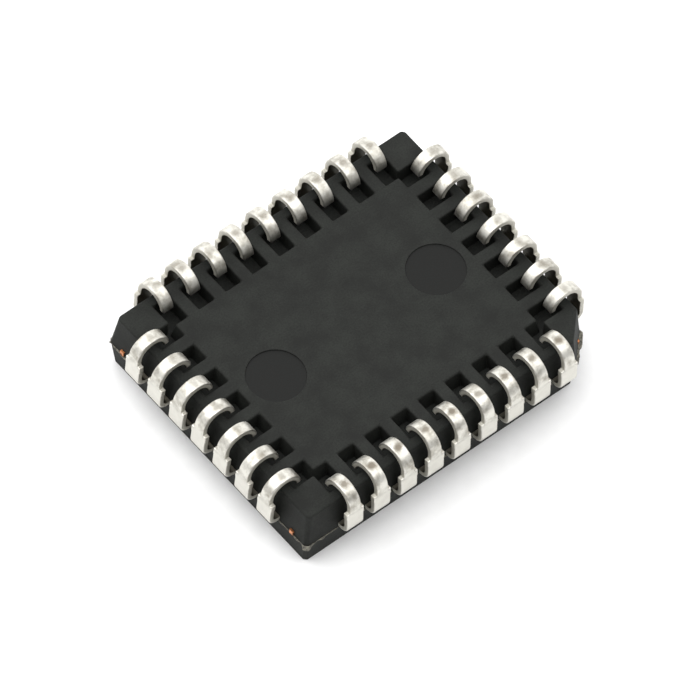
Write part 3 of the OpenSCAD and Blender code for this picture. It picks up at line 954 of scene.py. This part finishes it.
# %% The broken gate on the large chamfer
# Outline: place along the chamfer and share of the reach. Profile: shares of height and reach.
GATE_THICK = 0.20
GATE_REACH = 0.17
GATE_OUTLINE = [[-0.50, 0], [-0.49, 0.75], [-0.40, 1], [-0.08, 0.95], [-0.02, 0.45],
                [0.08, 0.35], [0.14, 0.70], [0.36, 0.60], [0.50, 0]]
GATE_PROFILE = [[1.0, 0.80], [0.92, 0.93], [0.70, 1.0], [0.45, 0.96], [0.20, 0.86], [0.0, 0.70]]
GATE_ROWS = 72
GATE_ROUGH = 0.18
GATE_DROP = 0.004
LEAST_GATE = 0.004
HALF_CHAMFER = 0.499
key = CORNER_LEG[3]
key_start = np.array([HALF["x"], key - HALF["y"]])
key_end = np.array([HALF["x"] - key, -HALF["y"]])
shares = np.linspace(-HALF_CHAMFER, HALF_CHAMFER, GATE_ROWS)
base = np.interp(shares, *np.array(GATE_OUTLINE).T) * GATE_REACH
heights, profile = np.array(GATE_PROFILE).T
rough = np.stack([ragged_curve(GATE_ROWS, FINE, False) for _ in heights], 1)
front = base[:, None] * profile * (1 - GATE_ROUGH + GATE_ROUGH * rough)
gate_reach = np.pad(np.maximum(front, LEAST_GATE), ((0, 0), (1, 1)), constant_values=INSIDE)
gate_height = PARTING - GATE_THICK * (1 - np.pad(heights, 1, mode="edge")) - GATE_DROP
gate_height = np.broadcast_to(gate_height, gate_reach.shape)
gate_path = key_start + (shares[:, None] + 0.5) * (key_end - key_start)
gate_out = np.broadcast_to(np.array([1, -1]) / math.sqrt(2), gate_path.shape)
gate_loops = swept(gate_path, gate_out, gate_reach, gate_height)
print("gate", GATE_ROWS, "sections of", gate_loops.shape[1], "points")

# %% [markdown]
# The torn resin shows its sand: pale grains in the dark epoxy, both tones painted paler still
# as painted highlight along the fin's lit top. The colour swings between the two at grain
# size, and the bump is stronger than on the moulded skin.

# %% Material of torn resin, and the two pieces
# Both tones are partly painted highlight: paler than the sand alone, for the light that the fin's
# top catches.
TORN_AND_HIGHLIGHT = (linear("#4a4842"), linear("#8d8a7c"))
SAND_SIZE = 0.09


def mottled(name, tones, size, height, swing=(0.4, 0.65), strength=0.4, noise=None, **finish):
    """A material whose colour swings between two tones over a grain size, with a bump of a
    height, both in millimetres. The finish is the shader's own settings."""
    material, tree, shader, where = new_material(name)
    grain = add(tree, "TexNoise", {"Vector": where, "Scale": per_metre(size), "Detail": 3.0,
                                   **(noise or {})}).outputs["Fac"]
    share = add(tree, "MapRange", {"Value": grain, "From Min": swing[0], "From Max": swing[1]})
    colour = add(tree, "Mix", {FACTOR: share.outputs["Result"], FIRST: tones[0],
                               SECOND: tones[1]}, data_type="RGBA")
    bump = add(tree, "Bump", {"Height": grain, "Strength": strength, "Distance": height * MM})
    connect(tree, shader, {"Base Color": colour.outputs[MIXED],
                           "Normal": bump.outputs["Normal"], **finish})
    return material


torn_and_highlit = mottled("torn_epoxy_painted_highlight", TORN_AND_HIGHLIGHT, SAND_SIZE, 0.02, swing=(0.40, 0.66), strength=0.8,
               noise={"Detail": 4.0, "Roughness": 0.7}, Roughness=0.85, IOR=RESIN_IOR)
ring_faces = strips(4, count)
last = (count - 1) * 4
ring_faces += [[last + k, last + (k + 1) % 4, (k + 1) % 4, k] for k in range(4)]
fin_piece = make_piece("parting_flash", fin_loops.reshape(-1, 3), ring_faces,
                       torn_and_highlit)
close_up(fin_piece)
around = gate_loops.shape[1]
gate_ends = [list(range(around)), list(range((GATE_ROWS - 1) * around, GATE_ROWS * around))]
gate_piece = make_piece("gate_remnant", gate_loops.reshape(-1, 3),
                        strips(around, GATE_ROWS) + gate_ends, torn_and_highlit)
close_up(gate_piece)

# %% [markdown]
# ## What lies inside
#
# The paddle, the film under the die, the die and the wires keep their solids. Only the cut
# ends of the paddle's tie bars show, as small copper spots at the parting line: they are
# sheared after plating, so bare metal shows. The rest gets its own finish too, for whoever
# opens the body.

# %% Materials of the inner parts
# Node, material, two tones, grain size, bump height, roughness and metallic
INNER_FINISHES = [
    ("die_paddle", "sheared_copper", ("#d9905f", "#8a5636"), 0.10, 0.004, 0.38, 1.0),
    ("die_attach", "silver_filled_epoxy", ("#b9b6ae", "#7f7c75"), 0.04, 0.004, 0.6, 0.6),
    ("memory_die", "etched_silicon", ("#6a6f7c", "#4c5160"), 0.12, 0.001, 0.18, 0.4),
    ("bond_wires", "drawn_gold", ("#f2c063", "#c99a4a"), 0.03, 0.001, 0.22, 1.0),
]
INNER = {kind: mottled(name, [linear(tone) for tone in tones], size, height, Roughness=rough,
                       Metallic=metallic)
         for kind, name, tones, size, height, rough, metallic in INNER_FINISHES}
for name, node in NODES.items():
    kind = "bond_wires" if name.startswith("bond_wires") else name
    if kind in INNER:
        node.data.materials.clear()
        node.data.materials.append(INNER[kind])
        print(name, "gets", INNER[kind].name)

# %% [markdown]
# ## Floor and light
#
# The chip lies on a white sheet in soft light: a wide softbox high behind it on the left, a
# second one above the side of nine leads that faces us, and a white room that is brighter
# behind the chip than in front of it. Metal is only as bright as what it mirrors, so that
# difference draws the grey bands on the leads. The floor adds a trace of white for the
# camera and in reflections, so that it burns out like the paper in the photo and still
# keeps the chip's shadow. The floor and the lamps are measured in metres.

# %% Floor
FLOOR_HALF = 2.0
FLOOR_GLOW = 0.03
FIBRE_SIZE = 0.4
WHITE = (1, 1, 1, 1)


def floor_material():
    """White paper: diffuse, with a faint glow for camera, glossy and transmission rays."""
    material, tree, shader, where = new_material("white_paper")
    fibre = add(tree, "TexNoise", {"Vector": where, "Scale": per_metre(FIBRE_SIZE),
                                   "Detail": 2.0})
    colour = add(tree, "Mix", {FACTOR: fibre.outputs["Fac"], FIRST: linear("#eeeeee"),
                               SECOND: linear("#f4f4f4")}, data_type="RGBA")
    rays = add(tree, "LightPath").outputs
    seen = rays["Is Camera Ray"]
    for kind in ("Is Glossy Ray", "Is Transmission Ray"):
        seen = add(tree, "Math", {0: seen, 1: rays[kind]}, operation="MAXIMUM").outputs[0]
    glow = add(tree, "Math", {0: seen, 1: FLOOR_GLOW}, operation="MULTIPLY")
    connect(tree, shader, {"Base Color": colour.outputs[MIXED], "Roughness": 0.9,
                           "Specular IOR Level": 0.1, "Emission Color": WHITE,
                           "Emission Strength": glow.outputs[0]})
    return material


sheet = bpy.data.meshes.new("floor")
corners = [(-1, -1), (1, -1), (1, 1), (-1, 1)]
sheet.from_pydata([(FLOOR_HALF * x, FLOOR_HALF * y, 0) for x, y in corners], [], [(0, 1, 2, 3)])
sheet.materials.append(floor_material())
floor = in_scene("floor", sheet)

# %% Lamps and the room
def softbox(name, azimuth, elevation, distance, size, level):
    """A square lamp aimed at the chip, with its distance and its side in metres. Its radiance
    is the level, so its power is the level times pi times its area: a lamp that fills the
    whole sky lights white paper to the level."""
    az, el = math.radians(azimuth), math.radians(elevation)
    away = Vector((math.sin(az) * math.cos(el), -math.cos(az) * math.cos(el), math.sin(el)))
    data = bpy.data.lights.new(name, "AREA")
    data.shape = "SQUARE"
    data.size = size
    data.energy = level * math.pi * size ** 2
    lamp = in_scene(name, data)
    lamp.location = away * distance
    lamp.rotation_euler = away.to_track_quat("Z", "Y").to_euler()
    print(name, round(data.energy, 2), "watts")


softbox("key_softbox", -138, 57, 0.60, 0.56, 2.3)
softbox("front_softbox", 20, 66, 0.60, 0.56, 1.8)

ROOM = 0.93
ROOM_SWING = 0.85
BRIGHT_SIDE = (0.55, 0.83, 0)
world = bpy.data.worlds.new("studio")
world.use_nodes = True
room = world.node_tree
sky = room.nodes["Background"]
facing = add(room, "VectorMath", {0: add(room, "TexCoord").outputs["Generated"],
                                  1: BRIGHT_SIDE}, operation="DOT_PRODUCT")
level = add(room, "Math", {0: facing.outputs["Value"], 1: ROOM_SWING, 2: ROOM},
            operation="MULTIPLY_ADD")
connect(room, sky, {"Color": WHITE, "Strength": level.outputs["Value"]})
bpy.context.scene.world = world
bpy.context.scene.view_settings.view_transform = "Standard"
